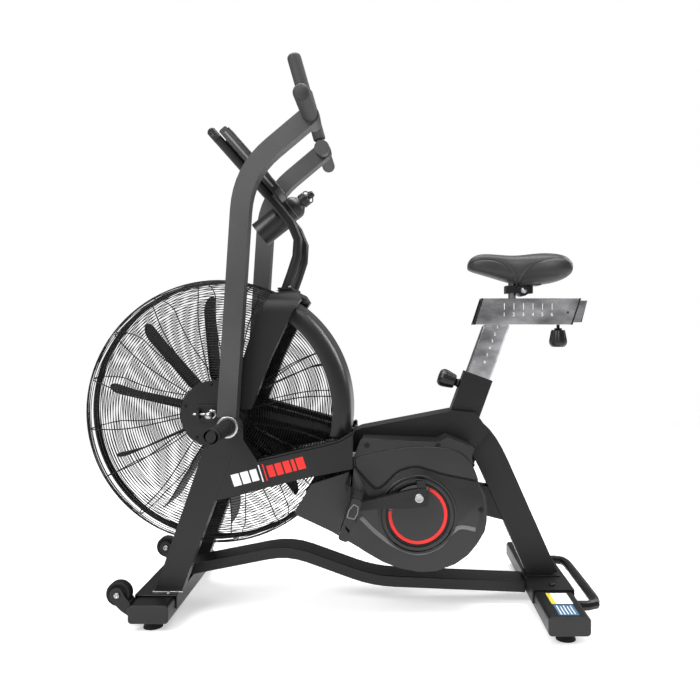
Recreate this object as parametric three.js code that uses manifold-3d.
// Air bike with a caged fan, swinging arms and a sliding seat.
// Millimetres, +Z up, +X towards the rider's back, -Y the rider's left.
// Origin: on the floor, under the middle of the bike.
import * as THREE from 'three';
import { mergeVertices } from 'three/addons/utils/BufferGeometryUtils.js';
import Module from 'manifold-3d';

const wasm = await Module();
wasm.setup();

// ---------------------------------------------------------------- driving dimensions
const GAP = 0.3;
const FOOT = { frontHalf: 215, rearHalf: 282, low: 21, high: 63, frontX: [-472, -379], rearX: [481, 575] };
const LEVELLER = { inset: 37, padR: 23, padHigh: 13, stemR: 5, stemTop: 40 };
const SADDLE_PLATE = { thick: 4, frontHalf: 160, rearHalf: 126, lip: 34 };
const WHEEL = { x: -503, y: 182, z: 81, r: 29, half: 12 };
const HANDLE = { r: 12, half: 170, rearX: 625, z: 46 };
const BASE = { half: 40, thick: 28 };
const FAN = { x: -303, z: 492, bladeCount: 10, bladeIn: 40, bladeR: 297, bladeHalf: 84 };
const CAGE = { r: 334, rimHalf: 52, faceR: 300, face: 98, wire: 4, spokes: 8, ribs: 8 };
const HUB = { plateR: 82, plateIn: 98.3, plateOut: 100.8 };
const SIDE = { inner: 104, outer: 140, wall: 3 };
const PIVOT = { x: -249, z: 470, shaftR: 8, hubR: 14, lever: 118, pinR: 6 };
const ARM = { inner: 148, outer: 188, width: 45, tipX: -57, tipZ: 1202 };
const GRIP = { r: 17, sideR: 19, coreR: 11, sideEnd: 352, uprightY: 130 };
const PEG = { r: 17, inner: 192, outer: 344 };
const CRANK = { x: 201, z: 297, length: 160, drop: 8, spindleR: 10, inner: 141.5, outer: 160 };
const PEDAL = { inner: 176, outer: 274, length: 98, thick: 24, tilt: 70 };
const CHAIN = { bigR: 76.8, smallR: 24.3, y0: 105, y1: 111, thick: 5 };
const ROD = { y0: 112.5, y1: 116.5, width: 12 };
const CASING = { outer: 122, wall: 3 };
const COVER = { x: 199, z: 250, r: 87, thick: 6 };
const TUBE = { topHalf: 40, legHalf: 28, legWidth: 74 };
const SEAT = { x: 360, z: 579.5, lean: 20, sleeveLow: -250, sleeveT: 38, postT: 32 };
const RAIL = { low: 711.5, high: 779, half: 25, wall: 5 };
const STEM = { x: 449, r: 10 };
const LOOP = { r: 12, half: 70, low: [-130, 798], knee: [-84, 930], top: [-317, 1196] };
const CUP = { x: -206, z: 945, r: 34, wall: 2.5, depth: 92, rise: 38.5 };

// ---------------------------------------------------------------- materials
const PAINT = new THREE.MeshStandardMaterial({ color: 0x1d1e20, roughness: 0.6, metalness: 0.3 });
const PLASTIC = new THREE.MeshStandardMaterial({ color: 0x232426, roughness: 0.5, metalness: 0 });
const RUBBER = new THREE.MeshStandardMaterial({ color: 0x161616, roughness: 0.85, metalness: 0 });
const CHROME = new THREE.MeshStandardMaterial({ color: 0xc9cacc, roughness: 0.2, metalness: 1 });
const STEEL = new THREE.MeshStandardMaterial({ color: 0x8f9194, roughness: 0.4, metalness: 1 });
const LEATHER = new THREE.MeshStandardMaterial({ color: 0x26272a, roughness: 0.6, metalness: 0 });

// ---------------------------------------------------------------- solids
function solid(geometry) {
  const bare = geometry.clone();
  bare.deleteAttribute('normal');
  bare.deleteAttribute('uv');
  const merged = mergeVertices(bare, 1e-3);
  const points = merged.getAttribute('position').array;
  const corners = merged.index.array;
  const kept = [];
  let volume = 0;
  const at = (i) => new THREE.Vector3().fromArray(points, 3 * i);
  for (let i = 0; i < corners.length; i += 3) {
    const [a, b, c] = [corners[i], corners[i + 1], corners[i + 2]];
    if (a === b || b === c || a === c) continue;
    volume += at(a).dot(at(b).cross(at(c)));
    kept.push([a, b, c]);
  }
  const triangles = volume < 0 ? kept.map(([a, b, c]) => [a, c, b]) : kept;
  const mesh = new wasm.Mesh({
    numProp: 3,
    vertProperties: new Float32Array(points),
    triVerts: Uint32Array.from(triangles.flat()),
  });
  return new wasm.Manifold(mesh);
}

const largest = (body) => body.decompose().sort((a, b) => b.volume() - a.volume())[0];
const join = (first, ...others) => others.reduce((sum, next) => sum.add(next), first);
const cut = (body, ...tools) => tools.reduce((rest, tool) => rest.subtract(tool), body);

function towards(corner, other, reach) {
  const step = other.clone().sub(corner);
  return corner.clone().add(step.setLength(Math.min(reach, step.length() / 2.05)));
}

// A closed outline with its corners rounded.
function outline(points, radius = 0) {
  const corners = points.map(([x, z]) => new THREE.Vector2(x, z));
  if (!radius) return new THREE.Shape(corners);
  const shape = new THREE.Shape();
  corners.forEach((corner, i) => {
    const start = towards(corner, corners.at(i - 1), radius);
    const end = towards(corner, corners[(i + 1) % corners.length], radius);
    if (i === 0) shape.moveTo(start.x, start.y);
    else shape.lineTo(start.x, start.y);
    shape.quadraticCurveTo(corner.x, corner.y, end.x, end.y);
  });
  shape.closePath();
  return shape;
}

// A line through points with its bends rounded, as a list of points.
function bentLine(points, bend, steps = 4) {
  const line = [points[0]];
  for (let i = 1; i < points.length - 1; i += 1) {
    const start = towards(points[i], points[i - 1], bend);
    const end = towards(points[i], points[i + 1], bend);
    const Curve = points[i].isVector3 ? THREE.QuadraticBezierCurve3 : THREE.QuadraticBezierCurve;
    line.push(...new Curve(start, points[i], end).getPoints(steps));
  }
  line.push(points.at(-1));
  return line;
}

// The outline of a flat bar of one width that follows a bent line.
function barOutline(points, width, bend, steps = 4) {
  const line = bentLine(points.map(([x, z]) => new THREE.Vector2(x, z)), bend, steps);
  const edge = (side) => line.map((point, i) => {
    const ahead = line[Math.min(i + 1, line.length - 1)].clone();
    const along = ahead.sub(line[Math.max(i - 1, 0)]).normalize();
    return new THREE.Vector2(point.x - side * along.y, point.y + side * along.x);
  });
  return new THREE.Shape([...edge(width / 2), ...edge(-width / 2).reverse()]);
}

// An XZ outline given thickness from y0 to y1.
function across(shape, y0, y1, curveSegments = 3) {
  const depth = y1 - y0;
  const geometry = new THREE.ExtrudeGeometry(shape, { depth, bevelEnabled: false, curveSegments });
  return solid(geometry.rotateX(Math.PI / 2).translate(0, y1, 0));
}

// The same on one side of the bike: side is -1 on the left and 1 on the right.
function onSide(shape, side, inner, outer, curveSegments = 3) {
  return across(shape, Math.min(side * inner, side * outer), Math.max(side * inner, side * outer),
    curveSegments);
}

function block(x0, x1, y0, y1, z0, z1) {
  const box = new THREE.BoxGeometry(x1 - x0, y1 - y0, z1 - z0);
  return solid(box.translate((x0 + x1) / 2, (y0 + y1) / 2, (z0 + z1) / 2));
}

function rod(from, to, radius, sides = 20, endRadius = radius) {
  const start = new THREE.Vector3(...from);
  const axis = new THREE.Vector3(...to).sub(start);
  const geometry = new THREE.CylinderGeometry(endRadius, radius, axis.length(), sides);
  geometry.translate(0, axis.length() / 2, 0);
  const turn = new THREE.Quaternion().setFromUnitVectors(new THREE.Vector3(0, 1, 0), axis.normalize());
  return solid(geometry.applyQuaternion(turn).translate(start.x, start.y, start.z));
}

function pipe(points, radius, bend, sides = 8) {
  const line = bentLine(points.map((point) => new THREE.Vector3(...point)), bend);
  const section = new THREE.Shape();
  section.absarc(0, 0, radius, 0, 2 * Math.PI);
  return solid(new THREE.ExtrudeGeometry(section, {
    extrudePath: new THREE.CatmullRomCurve3(line),
    steps: Math.round(1.5 * line.length),
    curveSegments: sides / 2,
    bevelEnabled: false,
  }));
}

// A ring about the Y axis with a closed profile of [radius, y] points.
function ring(x, z, profile, sides = 36) {
  const closed = [...profile, profile[0]].map(([r, y]) => new THREE.Vector2(r, y));
  return solid(new THREE.LatheGeometry(closed, sides).translate(x, 0, z));
}

const flatRing = (x, z, r0, r1, y0, y1, sides = 36) =>
  ring(x, z, [[r0, y0], [r1, y0], [r1, y1], [r0, y1]], sides);

// Every edge of a closed outline moved in by one distance (outlines run counter-clockwise).
function inset(points, distance) {
  const count = points.length;
  const lines = points.map(([x, z], i) => {
    const [nextX, nextZ] = points[(i + 1) % count];
    const length = Math.hypot(nextX - x, nextZ - z);
    const [alongX, alongZ] = [(nextX - x) / length, (nextZ - z) / length];
    return { x: x - distance * alongZ, z: z + distance * alongX, alongX, alongZ };
  });
  return lines.map((line, i) => {
    const last = lines.at(i - 1);
    const turn = last.alongX * line.alongZ - last.alongZ * line.alongX;
    const reach = ((line.x - last.x) * line.alongZ - (line.z - last.z) * line.alongX) / turn;
    return [last.x + reach * last.alongX, last.z + reach * last.alongZ];
  });
}

// The outline of a belt round two wheels, each grown by one margin.
function beltOutline(margin) {
  const span = new THREE.Vector2(FAN.x - CRANK.x, FAN.z - CRANK.z);
  const heading = span.angle();
  const lean = Math.acos((CHAIN.bigR - CHAIN.smallR) / span.length());
  const shape = new THREE.Shape();
  shape.absarc(CRANK.x, CRANK.z, CHAIN.bigR + margin, heading + lean, heading - lean);
  shape.absarc(FAN.x, FAN.z, CHAIN.smallR + margin, heading - lean, heading + lean);
  shape.closePath();
  return shape;
}

// ---------------------------------------------------------------- the group
const group = new THREE.Group();

function add(name, body, material) {
  const mesh = body.getMesh();
  const geometry = new THREE.BufferGeometry();
  geometry.setAttribute('position', new THREE.BufferAttribute(mesh.vertProperties, 3));
  geometry.setIndex(Array.from(mesh.triVerts));
  geometry.computeVertexNormals();
  const piece = new THREE.Mesh(geometry, material);
  piece.name = name;
  group.add(piece);
  return piece;
}

const SIDES = [['left', -1], ['right', 1]];

// ---------------------------------------------------------------- base
function addFoot(name, [x0, x1], half) {
  const { low, high } = FOOT;
  const middle = (x0 + x1) / 2;
  const section = outline([[x0, low], [x1, low], [x1, high], [x0, high]], 9);
  const threads = SIDES.map(([, side]) => {
    const y = side * (half - LEVELLER.inset);
    return rod([middle, y, low - 1], [middle, y, LEVELLER.stemTop + 2], LEVELLER.stemR + GAP, 12);
  });
  add(`${name}_foot_tube`, cut(across(section, -half, half), ...threads), PAINT);
  for (const [sideName, side] of SIDES) {
    const pad = rod([0, 0, 0], [0, 0, LEVELLER.padHigh], LEVELLER.padR, 18, LEVELLER.padR - 4);
    const stem = rod([0, 0, LEVELLER.padHigh - 1], [0, 0, LEVELLER.stemTop], LEVELLER.stemR, 8);
    const leveller = add(`leveller_${name}_${sideName}`, join(pad, stem), RUBBER);
    leveller.position.set(middle, side * (half - LEVELLER.inset), 0);
  }
}

function addTransportWheels() {
  const { x, z, r, half } = WHEEL;
  const plate = outline([[FOOT.frontX[0] - GAP, 30], [FOOT.frontX[0] - GAP, 62], [x + 18, z - 4],
    [x + 9, z + 15], [x - 6, z + 18], [x - 18, z + 8], [x - 18, z - 8], [x - 8, z - 19], [x + 8, z - 36]], 6);
  for (const [sideName, side] of SIDES) {
    const y = side * WHEEL.y;
    const tyre = cut(rod([0, -half, 0], [0, half, 0], r, 28), rod([0, -20, 0], [0, 20, 0], 5 + GAP, 12));
    add(`transport_wheel_${sideName}`, tyre, RUBBER).position.set(x, y, z);
    const ears = [-1, 1].map((ear) => across(plate, y + ear * 16 - 1.5, y + ear * 16 + 1.5));
    const back = block(FOOT.frontX[0] - 4, FOOT.frontX[0] - GAP, y - 17, y + 17, 31, 61);
    const axle = rod([x, y - 19, z], [x, y + 19, z], 5, 12);
    add(`wheel_bracket_${sideName}`, join(back, ...ears, axle), PAINT);
  }
}

// A plate over a foot tube with a lip down each side of it.
function footSaddle([x0, x1], half) {
  const { thick, lip } = SADDLE_PLATE;
  return block(x0 - thick, x1 + thick, -half, half, lip, FOOT.high + GAP + thick);
}

function addBase() {
  addFoot('front', FOOT.frontX, FOOT.frontHalf);
  addFoot('rear', FOOT.rearX, FOOT.rearHalf);
  addTransportWheels();
  const line = [[-440, 76], [-127, 137], [89, 59], [FOOT.rearX[0] - SADDLE_PLATE.thick - GAP, 43]];
  const beam = across(barOutline(line, BASE.thick, 55), -BASE.half, BASE.half);
  const rearEnd = block(FOOT.rearX[0] - SADDLE_PLATE.thick - 2 * GAP, 600, -60, 60, 0, 100);
  const room = block(FOOT.frontX[0] - GAP, FOOT.frontX[1] + GAP, -200, 200, 0, FOOT.high + GAP);
  add('base_beam', cut(join(beam, footSaddle(FOOT.frontX, SADDLE_PLATE.frontHalf)), room, rearEnd), PAINT);
  const start = FOOT.rearX[1] + GAP;
  const { half, rearX, z, r } = HANDLE;
  add('rear_handle', pipe([[start, -half, z], [rearX, -half, z], [rearX, half, z], [start, half, z]],
    r, 38), PAINT);
}

// ---------------------------------------------------------------- side frames and arms
const LEG_FOOT_Z = FOOT.high + SADDLE_PLATE.thick + 2 * GAP;
const SIDE_OUTLINE = [[-435, LEG_FOOT_Z], [-370, LEG_FOOT_Z], [-290, 286], [-89, 337], [41.6, 363], [41.6, 446],
  [10, 427], [-18, 419], [-187, 380], [-222, 434], [-222, 490], [-232, 505], [-272, 505], [-284, 490],
  [-284, 432], [-318, 412], [-330, 372]];
const CASING_OUTLINE = [[-98, 248], [-14, 209], [50, 172], [78, 154], [115, 133], [156, 118], [203, 109],
  [243, 111], [290, 128], [320, 149], [343, 176], [362, 208], [367, 234], [367, 262], [364, 296], [350, 319],
  [333, 365], [331, 394], [338, 410], [271, 437], [250, 425], [60, 433], [42.2, 385], [43, 356], [-59, 323],
  [-100, 257]];
const LEVER_PIN = { x: PIVOT.x, z: PIVOT.z - PIVOT.lever };

function sideShell(side) {
  const { inner, outer, wall } = SIDE;
  const mouth = outline([[30, 367], [46, 367], [46, 441], [30, 432]]);
  const hub = onSide(circle(PIVOT.x, PIVOT.z, PIVOT.hubR + 1), side, 130, outer + 1, 8);
  const shaft = onSide(circle(PIVOT.x, PIVOT.z, PIVOT.shaftR + GAP), side, inner - 1, 130, 8);
  let shell = onSide(outline(SIDE_OUTLINE), side, inner, outer);
  const room = [onSide(outline(inset(SIDE_OUTLINE, wall)), side, inner + wall, outer - wall),
    onSide(mouth, side, inner + wall, outer - wall), hub, shaft];
  if (side > 0) {
    shell = shell.add(across(beltOutline(17), inner, outer, 16));
    room.push(across(beltOutline(13), inner - 1, outer - wall, 16));
    room.push(block(41.6, 400, 0, 200, 0, 500));
    room.push(across(circle(FAN.x, FAN.z, 8 + GAP), 130, outer + 1, 8));
    room.push(across(outline(inset(CASING_OUTLINE, -0.5)), 0, CASING.outer + 1));
  }
  return cut(shell, ...room);
}

function circle(x, z, radius) {
  const shape = new THREE.Shape();
  shape.absarc(x, z, radius, 0, 2 * Math.PI);
  return shape;
}

function armSolid(side) {
  const line = [[-252, 492], [-215, 1069], [ARM.tipX, ARM.tipZ]];
  const beam = onSide(barOutline(line, ARM.width, 90, 8), side, ARM.inner, ARM.outer);
  const tip = onSide(circle(ARM.tipX, ARM.tipZ, ARM.width / 2), side, ARM.inner, ARM.outer, 8);
  const knuckle = onSide(circle(PIVOT.x, PIVOT.z, 26), side, ARM.inner - 6, ARM.outer + 2, 8);
  const sleeve = onSide(circle(PIVOT.x, PIVOT.z, PIVOT.hubR), side, 118, ARM.inner, 8);
  const lever = onSide(barOutline([[PIVOT.x, PIVOT.z], [LEVER_PIN.x, LEVER_PIN.z - 10]], 22, 1),
    side, 118, 124);
  const pin = onSide(circle(LEVER_PIN.x, LEVER_PIN.z, PIVOT.pinR), side, 111.8, 119, 8);
  const bore = onSide(circle(PIVOT.x, PIVOT.z, PIVOT.shaftR + GAP), side, 117, 200, 8);
  const boss = onSide(circle(ARM.tipX, ARM.tipZ, 21), side, 112, ARM.inner + 1, 8);
  const cross = onSide(circle(ARM.tipX, ARM.tipZ, GRIP.coreR), side, ARM.outer - 1, 346, 8);
  const y = side * GRIP.uprightY;
  const upright = rod([ARM.tipX, y, ARM.tipZ], [-100, y, 1354], GRIP.coreR, 20);
  return cut(join(beam, tip, knuckle, sleeve, lever, pin, boss, cross, upright), bore);
}

function addSide(sideName, side) {
  add(`side_frame_${sideName}`, sideShell(side), PAINT);
  add(`swing_arm_${sideName}`, armSolid(side), PAINT);

  const y = side * GRIP.uprightY;
  const upright = cut(rod([-63.5, y, 1226], [-103.5, y, 1366], GRIP.r, 20),
    rod([ARM.tipX, y, ARM.tipZ], [-100.3, y, 1355], GRIP.coreR + GAP, 20));
  add(`upright_grip_${sideName}`, upright, RUBBER);
  const sideGrip = onSide(circle(ARM.tipX, ARM.tipZ, GRIP.sideR), side, ARM.outer + 2, GRIP.sideEnd, 8);
  const sideBore = onSide(circle(ARM.tipX, ARM.tipZ, GRIP.coreR + GAP), side, ARM.outer, 347, 8);
  add(`side_grip_${sideName}`, cut(sideGrip, sideBore), RUBBER);

  const shaft = onSide(circle(PIVOT.x, PIVOT.z, PIVOT.shaftR), side, SIDE.inner + 0.5, PEG.inner + 2, 8);
  const peg = onSide(circle(PIVOT.x, PIVOT.z, PEG.r), side, PEG.inner, PEG.outer, 8);
  add(`foot_peg_${sideName}`, join(shaft, peg), PAINT);

  const line = [[LEVER_PIN.x - 8, LEVER_PIN.z - 1], [-80, 380], [0, 399], [104, 386]];
  const eye = onSide(circle(LEVER_PIN.x, LEVER_PIN.z, 13), side, ROD.y0, ROD.y1, 8);
  const hole = onSide(circle(LEVER_PIN.x, LEVER_PIN.z, PIVOT.pinR + GAP), side, 100, 130, 8);
  const flat = onSide(barOutline(line, ROD.width, 60), side, ROD.y0, ROD.y1);
  add(`link_rod_${sideName}`, cut(join(flat, eye), hole), STEEL);
}

// ---------------------------------------------------------------- fan and cage
function addCage() {
  const { x, z } = FAN;
  for (const [sideName, side] of SIDES) {
    const [low, high] = side < 0 ? [-CAGE.face, -CAGE.face + CAGE.wire] : [CAGE.face - CAGE.wire, CAGE.face];
    const rings = [[78, 84], [CAGE.faceR - 6, CAGE.faceR]].map(([r0, r1]) =>
      flatRing(x, z, r0, r1, low, high));
    const spokes = Array.from({ length: CAGE.spokes }, (_, i) => {
      const spoke = new THREE.BoxGeometry(CAGE.faceR - 82, CAGE.wire, CAGE.wire);
      spoke.translate((CAGE.faceR + 78) / 2, (low + high) / 2, 0);
      return solid(spoke.rotateY((2 * Math.PI * (i + 0.5)) / CAGE.spokes).translate(x, 0, z));
    });
    add(`cage_grille_${sideName}`, join(...rings, ...spokes), PAINT);
    const plate = flatRing(x, z, 16, HUB.plateR, side * HUB.plateIn, side * HUB.plateOut, 28);
    add(`fan_hub_plate_${sideName}`, plate, PAINT);
  }
  const bands = [-CAGE.rimHalf, CAGE.rimHalf].map((y) =>
    flatRing(x, z, CAGE.r - 5, CAGE.r, y - 2, y + 2));
  const rib = [[CAGE.faceR + 2, -94], [CAGE.r, -CAGE.rimHalf], [CAGE.r, CAGE.rimHalf], [CAGE.faceR + 2, 94],
    [CAGE.faceR + 1, 90], [CAGE.r - 4, CAGE.rimHalf - 1], [CAGE.r - 4, 1 - CAGE.rimHalf],
    [CAGE.faceR + 1, -90]];
  const ribs = Array.from({ length: CAGE.ribs }, (_, i) => {
    const bar = new THREE.ExtrudeGeometry(outline(rib), { depth: 4, bevelEnabled: false });
    bar.translate(0, 0, -2).rotateY((2 * Math.PI * i) / CAGE.ribs);
    return solid(bar.translate(x, 0, z));
  });
  add('cage_rim', join(...bands, ...ribs), PAINT);
}

function addShroud() {
  const { x, z } = FAN;
  const skin = 3;
  const inner = CAGE.r + 1.5;
  const side = CAGE.face + 1.3;
  const lip = 292;
  const profile = [[lip, -side - skin], [inner - 22, -side - skin], [inner + skin, -side + 20],
    [inner + skin, side - 20], [inner - 22, side + skin], [lip, side + skin],
    [lip, side], [inner - 23, side], [inner, side - 21], [inner, 21 - side],
    [inner - 23, -side], [lip, -side]];
  const wedge = [[0, 0], [500 * Math.cos(-0.21), 500 * Math.sin(-0.21)], [560, 200], [420, 420],
    [500 * Math.cos(0.98), 500 * Math.sin(0.98)]].map(([dx, dz]) => [x + dx, z + dz]);
  const sector = across(outline(wedge), -200, 200);
  add('fan_shroud', ring(x, z, profile, 72).intersect(sector), PLASTIC);
}

function addFan() {
  const { x, z, bladeCount, bladeIn, bladeR, bladeHalf } = FAN;
  add('fan_axle', rod([x, -142, z], [x, 142, z], 8, 20), STEEL);
  const paddle = outline([[bladeIn, -bladeHalf], [bladeR, -bladeHalf], [bladeR, bladeHalf],
    [bladeIn, bladeHalf]], 40);
  const blades = Array.from({ length: bladeCount }, (_, i) => {
    const blade = new THREE.ExtrudeGeometry(paddle, { depth: 3, bevelEnabled: false, curveSegments: 2 });
    blade.translate(0, 0, -1.5).rotateY(-(Math.PI * (27 + (360 * i) / bladeCount)) / 180);
    return solid(blade.translate(x, 0, z));
  });
  const drum = rod([x, -50, z], [x, 50, z], 58, 20);
  const neck = rod([x, 0, z], [x, CHAIN.y0 - GAP, z], 14, 20);
  const bore = rod([x, -150, z], [x, 150, z], 8 + GAP, 20);
  add('fan_rotor', cut(join(drum, neck, ...blades), bore), PLASTIC);
  add('fan_sprocket', flatRing(x, z, 8 + GAP, CHAIN.smallR, CHAIN.y0, CHAIN.y1, 24), STEEL);
}

function addArch() {
  const side = [[-278, 505.3], [-205, 505.3], [-175, 584], [-158, 629], [-128, 693], [-104, 746], [-86, 772],
    [-96, 790], [-112, 798], [-147, 798], [-159, 786], [-172, 766], [-195, 718], [-234, 601]];
  const bow = outline([[-129, 400], [-129, 798], [129, 798], [129, 400]], 60);
  const room = outline([[-104, 300], [-104, 780], [104, 780], [104, 300]], 44);
  const cageRoom = across(circle(FAN.x, FAN.z, CAGE.r + 1), -103, 103, 24);
  const shroudRoom = ring(FAN.x, FAN.z, [[280, -103], [CAGE.r + 6, -103], [CAGE.r + 6, 103], [280, 103]], 60);
  const spread = (shape) => {
    const geometry = new THREE.ExtrudeGeometry(shape, { depth: 400, bevelEnabled: false, curveSegments: 6 });
    return solid(geometry.rotateX(Math.PI / 2).rotateZ(Math.PI / 2).translate(-350, 0, 0));
  };
  const blank = across(outline(side), -129, 129);
  const chainCase = across(beltOutline(17 + GAP), 100, SIDE.outer + 1, 16);
  const bent = blank.intersect(cut(spread(bow), spread(room)));
  add('top_arch', largest(cut(bent, chainCase, cageRoom, shroudRoom)), PAINT);
}

// ---------------------------------------------------------------- drive
function addDrive() {
  const { x, z, spindleR } = CRANK;
  const eccentrics = SIDES.map(([, side]) =>
    onSide(circle(x - 20 * side, z, 30), side, ROD.y0, ROD.y1 + 1, 8));
  add('crank_spindle', join(rod([x, -154, z], [x, 154, z], spindleR, 24), ...eccentrics), STEEL);
  add('crank_sprocket', flatRing(x, z, spindleR + GAP, CHAIN.bigR, CHAIN.y0, CHAIN.y1, 30), STEEL);
  const loop = beltOutline(CHAIN.thick + 0.5);
  const inside = across(beltOutline(0.5), 100, 120, 10);
  add('drive_chain', cut(across(loop, CHAIN.y0, CHAIN.y1, 10), inside), STEEL);

  for (const [sideName, side] of SIDES) {
    const drop = THREE.MathUtils.degToRad(CRANK.drop);
    const reach = -side * -1;
    const end = [x + reach * CRANK.length * Math.cos(drop), z + reach * CRANK.length * Math.sin(drop)];
    const along = [Math.cos(drop) * reach, Math.sin(drop) * reach];
    const off = (s, t) => [x + s * along[0] - t * along[1], z + s * along[1] + t * along[0]];
    const arm = outline([off(-20, -22), off(20, -22), off(68, -16), off(110, -11), off(162, -11), off(172, 0),
      off(162, 11), off(110, 11), off(68, 16), off(20, 22), off(-20, 22)], 6);
    const bore = onSide(circle(x, z, spindleR + GAP), side, 100, CRANK.outer - 2, 8);
    const pedalPin = onSide(circle(...end, 6), side, CRANK.outer - 5, PEDAL.outer - 6, 10);
    const crank = join(onSide(arm, side, CRANK.inner, CRANK.outer), pedalPin);
    add(`crank_${sideName}`, cut(crank, bore), PAINT);

    const { length, thick, tilt, inner, outer } = PEDAL;
    const frame = outline([[-length / 2, -thick / 2], [length / 2, -thick / 2],
      [length / 2, thick / 2], [-length / 2, thick / 2]], 8);
    const core = cut(onSide(frame, side, inner, outer), onSide(circle(0, 0, 6 + GAP), side, 0, outer - 5, 10),
      onSide(outline([[-38, -20], [-14, -20], [-14, 20], [-38, 20]]), side, inner + 12, outer - 12),
      onSide(outline([[14, -20], [38, -20], [38, 20], [14, 20]]), side, inner + 12, outer - 12));
    const pedal = add(`pedal_${sideName}`, core, PLASTIC);
    pedal.position.set(end[0], 0, end[1]);
    pedal.rotation.y = -THREE.MathUtils.degToRad(tilt);
  }
}

// ---------------------------------------------------------------- seat
const LEAN = THREE.MathUtils.degToRad(SEAT.lean);
// A point s up the seat tube from the sleeve's top and t behind its axis.
const seatPoint = (s, t) => [SEAT.x + s * Math.sin(LEAN) + t * Math.cos(LEAN),
  SEAT.z + s * Math.cos(LEAN) - t * Math.sin(LEAN)];
const seatBox = (s0, s1, t0, t1, half) =>
  across(outline([seatPoint(s0, t0), seatPoint(s0, t1), seatPoint(s1, t1), seatPoint(s1, t0)]), -half, half);
const KNOB_S = -36;

function knobSolid(from, to) {
  const start = new THREE.Vector3(...from);
  const axis = new THREE.Vector3(...to).sub(start).normalize();
  const point = (distance) => start.clone().addScaledVector(axis, distance).toArray();
  return join(rod(point(0), point(24), 4.5, 12), rod(point(15), point(20), 9, 16),
    rod(point(19), point(50), 17, 16, 23.5), rod(point(50), point(63), 23.5, 16, 19));
}

function addSeat() {
  const { sleeveT, postT, sleeveLow } = SEAT;
  const sleeve = seatBox(sleeveLow, 0, -sleeveT, sleeveT, 23);
  const slot = seatBox(sleeveLow - 5, 5, -postT - 0.4, postT + 0.4, 18.4);
  const knobAt = (t) => {
    const [x, z] = seatPoint(KNOB_S, t);
    return [x, 0, z];
  };
  add('seat_sleeve', cut(sleeve, slot, rod(knobAt(-45), knobAt(-20), 5, 12)), PAINT);
  const post = cut(seatBox(-160, 180, -postT, postT, 18), block(200, 700, -60, 60, RAIL.low - GAP, 900));
  add('seat_post', post, CHROME);
  add('height_knob', knobSolid(knobAt(-postT - GAP), knobAt(-90)), PLASTIC);

  const { low, high, half, wall } = RAIL;
  const shell = across(outline([[350, low], [596, low], [620, high], [372, high]]), -half, half);
  const channel = block(300, 700, -half + wall, half - wall, low + wall, high - wall);
  const topSlot = block(STEM.x - 56, STEM.x + 66, -12, 12, high - wall - 1, high + 1);
  const knobHole = rod([569, 0, low - 5], [569, 0, low + 10], 5, 12);
  add('seat_rail', cut(shell, channel, topSlot, knobHole), CHROME);
  add('fore_aft_knob', knobSolid([569, 0, low + wall], [569, 0, 600]), PLASTIC);

  const inner = wall + GAP;
  const bar = across(outline([[425, low + inner], [622, low + inner], [640, high - inner],
    [425, high - inner]]), -half + inner, half - inner);
  add('seat_slider', join(bar, rod([STEM.x, 0, high - 10], [STEM.x, 0, 826], STEM.r, 16)), CHROME);
  const clampBody = block(STEM.x - 18, 500, -19, 19, 792, 812);
  const barrel = across(circle(474, 800, 15), -26, 26, 10);
  const stemHole = rod([STEM.x, 0, 700], [STEM.x, 0, 900], STEM.r + GAP, 16);
  add('saddle_clamp', cut(join(clampBody, barrel), stemHole), PAINT);
}

function addSaddle() {
  const profile = outline([[332, 860], [340, 881], [362, 894], [410, 893], [450, 889], [512, 894], [560, 890],
    [581, 879], [589, 860], [587, 836], [562, 822], [504, 814], [455, 816], [390, 836], [345, 850]], 10);
  const plan = new THREE.Shape();
  plan.moveTo(332, 0);
  plan.bezierCurveTo(332, 26, 350, 34, 400, 40);
  plan.bezierCurveTo(470, 50, 490, 116, 546, 116);
  plan.bezierCurveTo(582, 116, 589, 60, 589, 0);
  plan.bezierCurveTo(589, -60, 582, -116, 546, -116);
  plan.bezierCurveTo(490, -116, 470, -50, 400, -40);
  plan.bezierCurveTo(350, -34, 332, -26, 332, 0);
  const column = new THREE.ExtrudeGeometry(plan, { depth: 120, bevelEnabled: false, curveSegments: 8 });
  const body = across(profile, -130, 130).intersect(solid(column.translate(0, 0, 800)));
  const stemRoom = block(STEM.x - 19, 501, -27, 27, 780, 826.5);
  add('saddle', cut(body, stemRoom), LEATHER);
}

// ---------------------------------------------------------------- main frame and casing
const TOP_OUTLINE = [[40, 380], [60, 380], [290, 424], [352, 400], [384, 440], [350, 487], [290, 492],
  [59, 448], [40, 440]];
const LEG_LINE = [[318, 452], [372, 412], [461, 215], [527, FOOT.high + GAP]];
const LOWER_OUTLINE = [[176, 262], [371, 222], [438, 205], [420, 290], [371, 297], [225, 325], [176, 325]];

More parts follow.
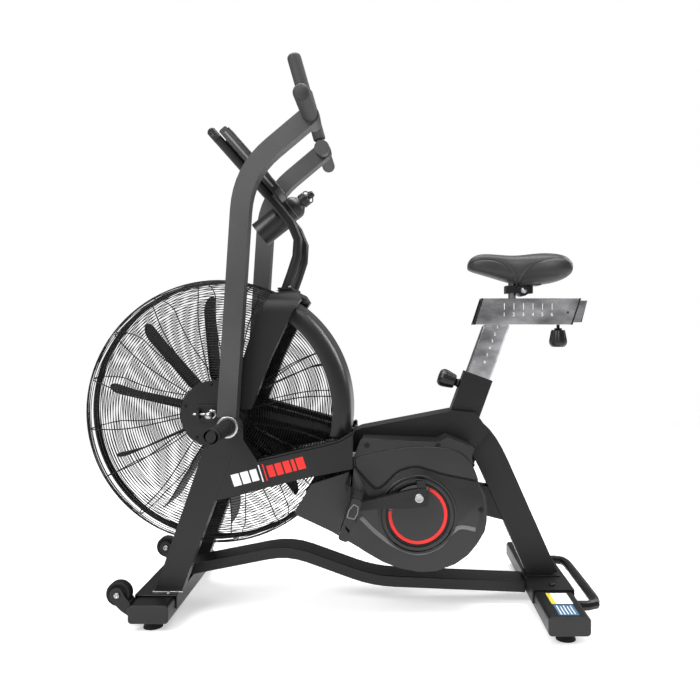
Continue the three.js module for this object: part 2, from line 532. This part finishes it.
function addFrame() {
  const top = across(outline(TOP_OUTLINE), -TUBE.topHalf, TUBE.topHalf);
  const crossPlate = block(36.2, 41.6, -SIDE.inner + GAP, SIDE.inner - GAP, 380, 440);
  const leg = across(barOutline(LEG_LINE, TUBE.legWidth, 70), -TUBE.legHalf, TUBE.legHalf);
  const foot = footSaddle(FOOT.rearX, SADDLE_PLATE.rearHalf);
  const floorCut = block(FOOT.rearX[0] - GAP, FOOT.rearX[1] + GAP, -300, 300, 0, FOOT.high + GAP);
  const sleeveRoom = seatBox(SEAT.sleeveLow - 90, 60, -SEAT.sleeveT - GAP, SEAT.sleeveT + GAP, 23 + GAP);
  const chainRoom = across(beltOutline(9), 100, 115, 16);
  add('main_frame', cut(join(top, crossPlate, leg, foot), floorCut, sleeveRoom, chainRoom), PAINT);

  const lower = across(outline(LOWER_OUTLINE), -22, 22);
  const strut = block(176, 216, -22, 22, 310, 398);
  const shell = rod([CRANK.x, -45, CRANK.z], [CRANK.x, 45, CRANK.z], 25, 24);
  const bore = rod([CRANK.x, -60, CRANK.z], [CRANK.x, 60, CRANK.z], CRANK.spindleR + GAP, 24);
  const legRoom = across(barOutline(LEG_LINE, TUBE.legWidth + 2 * GAP, 70), -40, 40);
  const topRoom = across(outline(inset([...TOP_OUTLINE], -GAP)), -41, 41);
  const part = cut(join(lower, strut, shell), bore, legRoom, topRoom, sleeveRoom);
  add('lower_frame', largest(part), PAINT);
}

function addCasing() {
  const whole = outline(CASING_OUTLINE, 5);
  const hollow = outline(inset(CASING_OUTLINE, CASING.wall));
  const frameRoom = [across(outline(inset(TOP_OUTLINE, -1)), -TUBE.topHalf - 1, TUBE.topHalf + 1),
    seatBox(SEAT.sleeveLow - 20, 60, -SEAT.sleeveT - 1, SEAT.sleeveT + 1, 24),
    across(barOutline(LEG_LINE, TUBE.legWidth + 2, 70), -TUBE.legHalf - 1, TUBE.legHalf + 1),
    across(outline(inset(LOWER_OUTLINE, -1)), -23, 23),
    across(outline([[36, 366], [64, 366], [64, 440], [36, 440]]), -119, 119),
    across(circle(FAN.x, FAN.z, CAGE.r + 5.5), -103, 103, 32)];
  const chainRoom = across(beltOutline(9), 101, 114, 16);
  for (const [sideName, side] of SIDES) {
    const shell = onSide(whole, side, GAP / 2, CASING.outer);
    const room = onSide(hollow, side, -1, CASING.outer - CASING.wall);
    const spindle = onSide(circle(CRANK.x, CRANK.z, 13), side, 100, 130, 8);
    add(`casing_${sideName}`, largest(cut(shell, room, spindle, chainRoom, ...frameRoom)), PLASTIC);
    const disc = onSide(circle(COVER.x, COVER.z, COVER.r), side, CASING.outer + GAP,
      CASING.outer + COVER.thick, 24);
    add(`round_cover_${sideName}`, cut(disc, spindle), PLASTIC);
  }
}

// ---------------------------------------------------------------- console and bottle
function addConsole() {
  const { r, half } = LOOP;
  const at = ([x, z], y) => [x, y, z];
  const neck = [LOOP.top[0] + 20, LOOP.top[1] - 23];
  const legs = [-half, half].map((y) =>
    pipe([at(LOOP.low, y), at(LOOP.knee, y), at(LOOP.top, y * 0.98)], r, 62, 10));
  const top = pipe([at(neck, -half), at(LOOP.top, -half), at(LOOP.top, half), at(neck, half)], r, 22, 10);
  const foot = block(-147, -112, -88, 88, 798.3, 803);
  const below = block(-200, 0, -100, 100, 770, 798.3);
  add('console_loop', cut(join(...legs, top, foot), below), PAINT);

  const tilt = Math.atan2(LOOP.top[1] - LOOP.knee[1], LOOP.top[0] - LOOP.knee[0]);
  const along = [Math.cos(tilt), Math.sin(tilt)];
  const [x, z] = LOOP.knee;
  const off = (s, t) => [x + s * along[0] + t * along[1], z + s * along[1] - t * along[0]];
  const body = outline([off(128, 14), off(332, 14), off(332, 36), off(128, 36)], 5);
  const buttonHole = across(outline([off(148, 26), off(168, 26), off(168, 37), off(148, 37)]), -12, 12);
  add('console_housing', cut(across(body, -94, 94), buttonHole), PLASTIC);
  const button = outline([off(148.4, 29), off(167.6, 29), off(167.6, 39.5), off(148.4, 39.5)]);
  add('console_button', across(button, -11.6, 11.6), PLASTIC);
}

function addBottle() {
  const rise = THREE.MathUtils.degToRad(CUP.rise);
  const axis = [Math.cos(rise), Math.sin(rise)];
  const at = (s) => [CUP.x + s * axis[0], 0, CUP.z + s * axis[1]];
  const tub = cut(rod(at(0), at(CUP.depth), CUP.r, 20), rod(at(CUP.wall), at(CUP.depth + 9),
    CUP.r - CUP.wall, 20));
  const strap = (y0, y1) => {
    const plate = [[-160, 990], [-168, 999], [-156, 1010], [-148, 1001]];
    return across(outline(plate), y0, y1);
  };
  const straps = [strap(-58, -32), strap(32, 58)];
  add('bottle_cup', join(tub, ...straps), PLASTIC);
  const r = CUP.r - CUP.wall - 1;
  const bottle = join(rod(at(CUP.wall + GAP), at(118), r, 20), rod(at(118), at(136), r, 20, 15),
    rod(at(135.9), at(156), 17, 12), rod(at(155.9), at(176), 8, 10));
  add('bottle', bottle, PLASTIC);
}

addBase();
for (const [sideName, side] of SIDES) addSide(sideName, side);
addCage();
addShroud();
addFan();
addArch();
addDrive();
addSeat();
addSaddle();
addFrame();
addCasing();
addConsole();
addBottle();

export default group;
